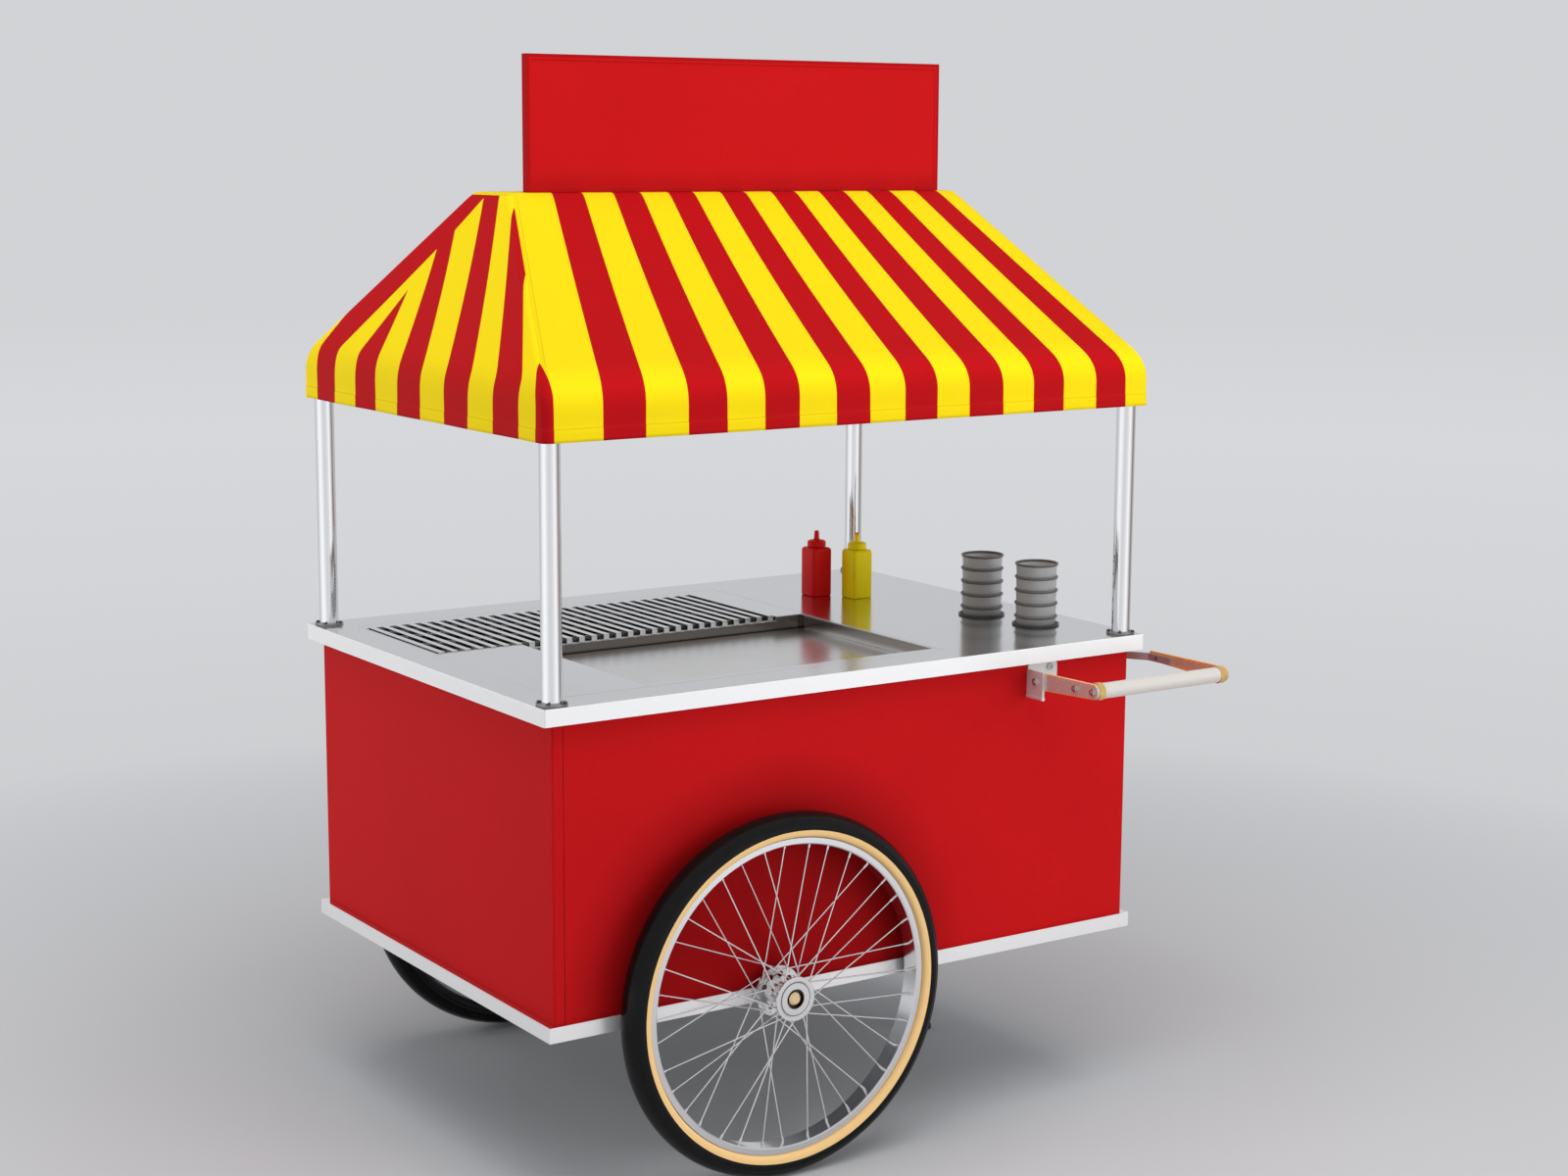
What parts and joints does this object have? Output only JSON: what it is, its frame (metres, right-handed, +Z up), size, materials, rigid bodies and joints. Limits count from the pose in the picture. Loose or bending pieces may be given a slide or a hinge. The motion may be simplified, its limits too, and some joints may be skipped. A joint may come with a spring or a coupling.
{
  "type": "hot dog cart",
  "caption": "Street food push cart: red cabinet on spoked wheels, steel counter with grill and steam pan, striped hip canopy on posts, sign board and corner handle.",
  "frame": {"origin": "on the floor under the middle of the whole box", "axes": "+Z up, +X towards the handle end, -Y towards the front with the sign's face"},
  "size_m": [1.36, 1.1863, 1.9614],
  "materials": {
    "red_paint": "satin sheet paint",
    "stainless": "fine brushed",
    "bright_trim": "bright satin edge",
    "inner_steel": "mill finish",
    "burner_iron": "as cast",
    "valve_brass": "turned",
    "post_chrome": "polished tube",
    "dark_screw": "blackened",
    "frame_aluminium": "mill finish",
    "awning_cloth": "striped woven awning cloth",
    "sign_red": "satin board",
    "tyre_black": "black tread with a tan wall band",
    "rim_silver": "satin",
    "spoke_steel": "bright wire",
    "hub_silver": "polished",
    "bearing_steel": "shielded",
    "axle_steel": "turned",
    "nut_brass": "satin",
    "handle_steel": "satin bar",
    "grip_satin": "satin tube",
    "ring_gold": "satin",
    "sleeve_dark": "moulded",
    "cup_metal": "dull spun",
    "bottle_red": "soft moulded",
    "bottle_yellow": "soft moulded",
    "knob_black": "moulded",
    "foot_rubber": "moulded"
  },
  "bodies": {
    "cart": {"base_frame": "bright_trim", "floor_panel": "inner_steel", "front_panel": "red_paint", "rear_panel": "red_paint", "left_panel": "red_paint", "right_panel": "red_paint", "corner_angles": "inner_steel", "countertop": "stainless", "cooktop_plate": "stainless", "grill_well": "stainless", "steam_pan": "stainless", "grill_burner": "burner_iron", "pan_burner": "burner_iron", "gas_valves": "valve_brass", "gas_manifold": "valve_brass", "post_front_left": "post_chrome", "post_front_right": "post_chrome", "post_rear_left": "post_chrome", "post_rear_right": "post_chrome", "post_flanges": "post_chrome", "flange_screws": "dark_screw", "canopy_frame": "frame_aluminium", "canopy_cover": "awning_cloth", "sign_panel": "sign_red", "sign_legs": "frame_aluminium", "axle": "axle_steel", "axle_nuts": "nut_brass", "handle_bracket_front": "handle_steel", "handle_bracket_end": "handle_steel", "handle_arm_front": "handle_steel", "handle_arm_end": "handle_steel", "handle_grip": "grip_satin", "handle_rings": "ring_gold", "handle_bolts": "axle_steel", "cup_sleeves": "sleeve_dark", "leg_bracket": "inner_steel", "door_hinges": "axle_steel"},
    "front_wheel": {"front_tyre": "tyre_black", "front_rim": "rim_silver", "front_spokes": "spoke_steel", "front_hub": "hub_silver", "front_bearings": "bearing_steel"},
    "rear_wheel": {"rear_tyre": "tyre_black", "rear_rim": "rim_silver", "rear_spokes": "spoke_steel", "rear_hub": "hub_silver", "rear_bearings": "bearing_steel"},
    "leg": {"stand_leg": "axle_steel", "leg_foot": "foot_rubber"},
    "door": {"door_panel": "red_paint", "door_pull": "handle_steel"},
    "grill_knob": {"knob_grill": "knob_black"},
    "pan_knob": {"knob_pan": "knob_black"},
    "grate": {"grill_grate": "stainless"},
    "red_squeeze": {"red_bottle": "bottle_red", "red_cap": "bottle_red"},
    "yellow_squeeze": {"yellow_bottle": "bottle_yellow", "yellow_cap": "bottle_yellow"},
    "left_cups": {"cups_left": "cup_metal"},
    "right_cups": {"cups_right": "cup_metal"}
  },
  "joints": [
    {"name": "front_wheel_turn", "type": "hinge", "parent": "cart", "child": "front_wheel", "pos_m": [-0.216, -0.43685, 0.33], "axis": [0, 1, 0], "continuous": true},
    {"name": "rear_wheel_turn", "type": "hinge", "parent": "cart", "child": "rear_wheel", "pos_m": [-0.216, 0.55715, 0.33], "axis": [0, 1, 0], "continuous": true},
    {"name": "leg_fold", "type": "hinge", "parent": "cart", "child": "leg", "pos_m": [0.44, 0.06015, 0.288], "axis": [0, 1, 0], "range_deg": [0, 86]},
    {"name": "door_swing", "type": "hinge", "parent": "cart", "child": "door", "pos_m": [0.546, 0.52025, 0.59], "axis": [0, 0, -1], "range_deg": [0, 110]},
    {"name": "grill_knob_turn", "type": "hinge", "parent": "cart", "child": "grill_knob", "pos_m": [-0.239, 0.52515, 0.78], "axis": [0, 1, 0], "range_deg": [0, 180]},
    {"name": "pan_knob_turn", "type": "hinge", "parent": "cart", "child": "pan_knob", "pos_m": [-0.122, 0.52515, 0.78], "axis": [0, 1, 0], "range_deg": [0, 180]},
    {"name": "grate_lift", "type": "slide", "parent": "cart", "child": "grate", "axis": [0, 0, 1], "range_m": [0, 0.15]},
    {"name": "red_bottle_lift", "type": "slide", "parent": "cart", "child": "red_squeeze", "axis": [0, 0, 1], "range_m": [0, 0.15]},
    {"name": "yellow_bottle_lift", "type": "slide", "parent": "cart", "child": "yellow_squeeze", "axis": [0, 0, 1], "range_m": [0, 0.15]},
    {"name": "left_cups_lift", "type": "slide", "parent": "cart", "child": "left_cups", "axis": [0, 0, 1], "range_m": [0, 0.2]},
    {"name": "right_cups_lift", "type": "slide", "parent": "cart", "child": "right_cups", "axis": [0, 0, 1], "range_m": [0, 0.2]}
  ]
}
